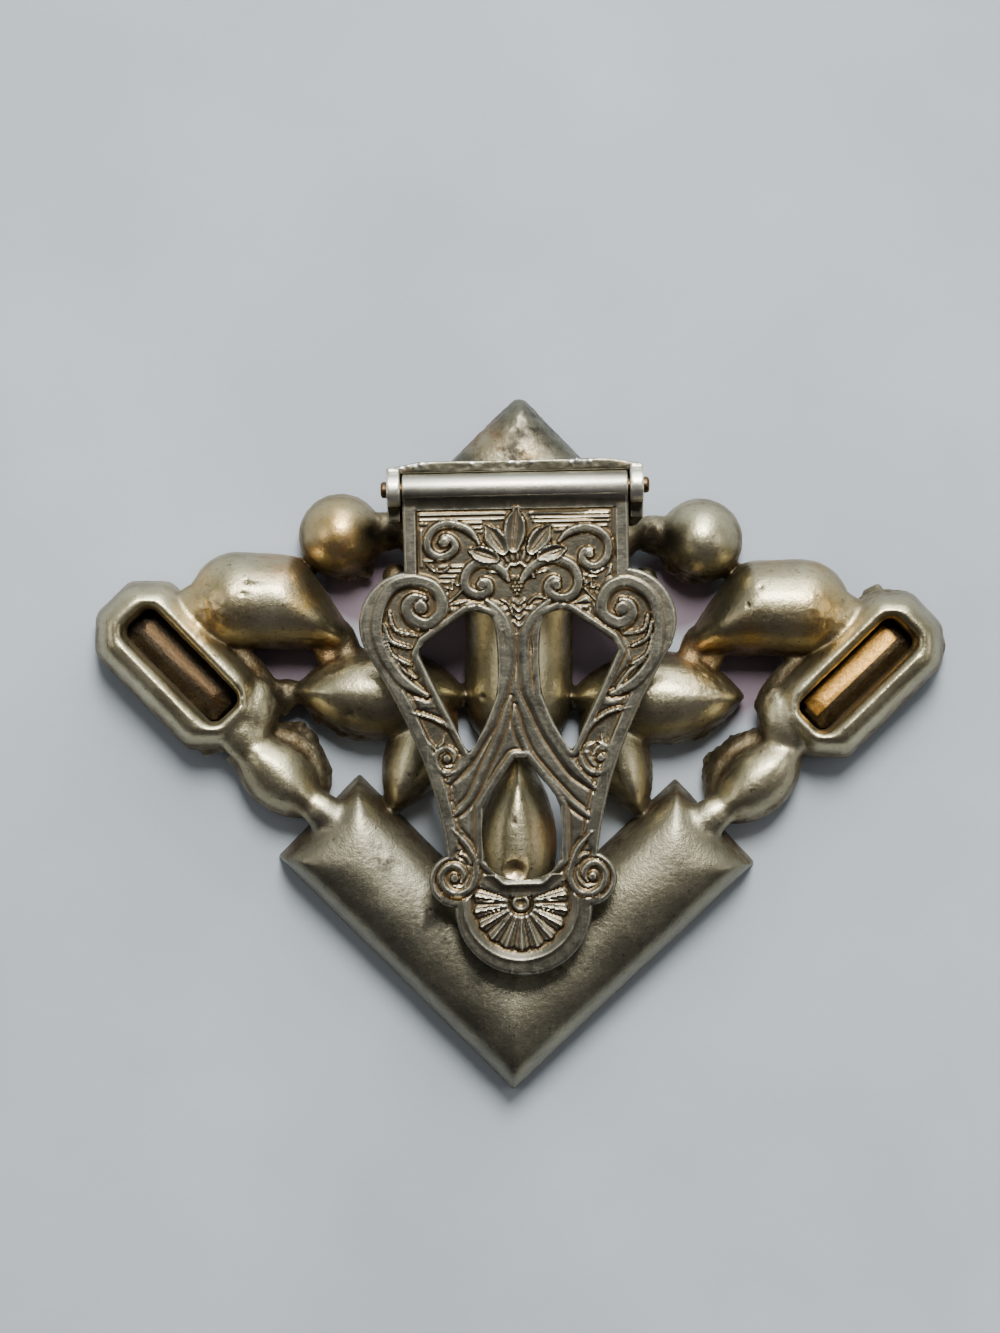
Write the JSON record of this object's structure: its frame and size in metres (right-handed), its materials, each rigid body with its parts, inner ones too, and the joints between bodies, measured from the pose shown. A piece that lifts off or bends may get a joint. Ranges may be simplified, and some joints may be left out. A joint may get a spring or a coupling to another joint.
{
  "type": "dress clip",
  "caption": "Art Deco style cast dress clip, shown from the back: domed stone cups and a chevron, cut glass stones in front, and a hinged pierced clip lever.",
  "frame": {"origin": "centre of the bounding box's bottom face, on the surface that the clip lies on, face down", "axes": "+X right and +Y towards the hinge, as seen from the clip's back; +Z out of the back, up from the surface"},
  "size_m": [0.0642, 0.0526, 0.0092],
  "materials": {
    "cast_metal": "worn pale gilt wash over cast white metal, satin",
    "lever_metal": "stamped nickel brass, matte and worn",
    "pin_metal": "drawn wire, tarnished",
    "clear_glass": "polished cut glass",
    "amethyst_glass": "polished cut glass, pale amethyst",
    "copper_foiled_glass": "cut glass with copper-brown foil on its back",
    "gold_foiled_glass": "cut glass with gold foil on its back"
  },
  "bodies": {
    "frame": {"cast_frame": "cast_metal", "hinge_pin": "pin_metal", "square_stone": "amethyst_glass", "bar_stone": "clear_glass", "centre_stone": "clear_glass", "round_stone_left": "clear_glass", "round_stone_right": "clear_glass", "upper_stone_left": "amethyst_glass", "upper_stone_right": "amethyst_glass", "baguette_stone_left": "copper_foiled_glass", "baguette_stone_right": "gold_foiled_glass", "middle_stone_left": "amethyst_glass", "middle_stone_right": "amethyst_glass", "side_stone_left": "clear_glass", "side_stone_right": "clear_glass", "lower_stone_left": "clear_glass", "lower_stone_right": "clear_glass"},
    "lever": {"clip_lever": "lever_metal"}
  },
  "joints": [
    {"name": "clip_hinge", "type": "hinge", "parent": "frame", "child": "lever", "pos_m": [-0.0005, 0.0191, 0.0079], "axis": [-0.9994, -0.034, 0], "range_deg": [0, 90]}
  ]
}
